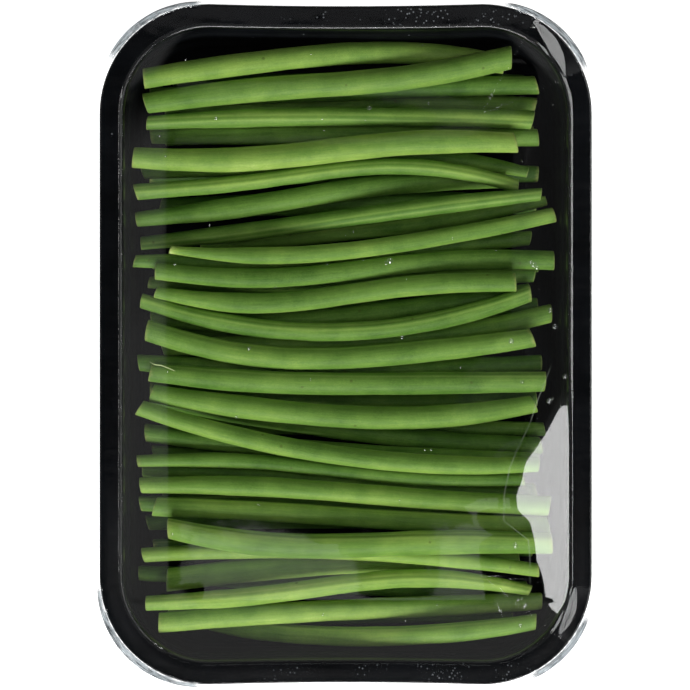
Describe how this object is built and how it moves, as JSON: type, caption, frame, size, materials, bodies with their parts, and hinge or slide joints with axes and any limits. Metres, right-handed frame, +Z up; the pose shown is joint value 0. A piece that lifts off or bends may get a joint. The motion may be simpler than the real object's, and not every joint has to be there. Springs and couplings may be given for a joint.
{
  "type": "tray of trimmed green beans",
  "caption": "Shallow black tray of trimmed fine green beans laid side by side, sealed under a clear film.",
  "frame": {"origin": "middle of the tray's footprint, on the surface that it stands on", "axes": "+X along the beans, across the tray; +Y along the tray's length; +Z up"},
  "size_m": [0.1384, 0.1908, 0.028],
  "materials": {
    "tray": "black thermoformed plastic, glossy with fine scuffs",
    "bean_a": "satin green pod skin",
    "bean_b": "satin green pod skin",
    "bean_c": "satin pale green pod skin",
    "bean_d": "satin dark green pod skin",
    "film": "clear glossy lidding film"
  },
  "bodies": {
    "root": {"tray": "tray", "bean_01": "bean_a", "bean_02": "bean_b", "bean_03": "bean_c", "bean_04": "bean_d", "bean_05": "bean_a", "bean_06": "bean_b", "bean_07": "bean_c", "bean_08": "bean_d", "bean_09": "bean_a", "bean_10": "bean_b", "bean_11": "bean_c", "bean_12": "bean_d", "bean_13": "bean_a", "bean_14": "bean_b", "bean_15": "bean_c", "bean_16": "bean_d", "bean_17": "bean_a", "bean_18": "bean_b", "bean_19": "bean_c", "bean_20": "bean_d", "bean_21": "bean_a", "bean_22": "bean_b", "bean_23": "bean_c", "bean_24": "bean_d", "bean_25": "bean_a", "bean_26": "bean_b", "bean_27": "bean_c", "bean_28": "bean_d", "bean_29": "bean_a", "bean_30": "bean_b", "bean_31": "bean_c", "bean_32": "bean_d", "bean_33": "bean_a", "bean_34": "bean_b", "bean_35": "bean_c", "bean_36": "bean_d", "bean_37": "bean_a", "bean_38": "bean_b", "bean_39": "bean_c", "bean_40": "bean_d", "bean_41": "bean_a", "bean_42": "bean_b", "bean_43": "bean_c", "bean_44": "bean_d", "bean_45": "bean_a", "bean_46": "bean_b", "bean_47": "bean_c", "bean_48": "bean_d", "bean_49": "bean_a", "bean_50": "bean_b", "bean_51": "bean_c", "bean_52": "bean_d", "bean_53": "bean_a", "bean_54": "bean_b", "film": "film"}
  },
  "joints": []
}
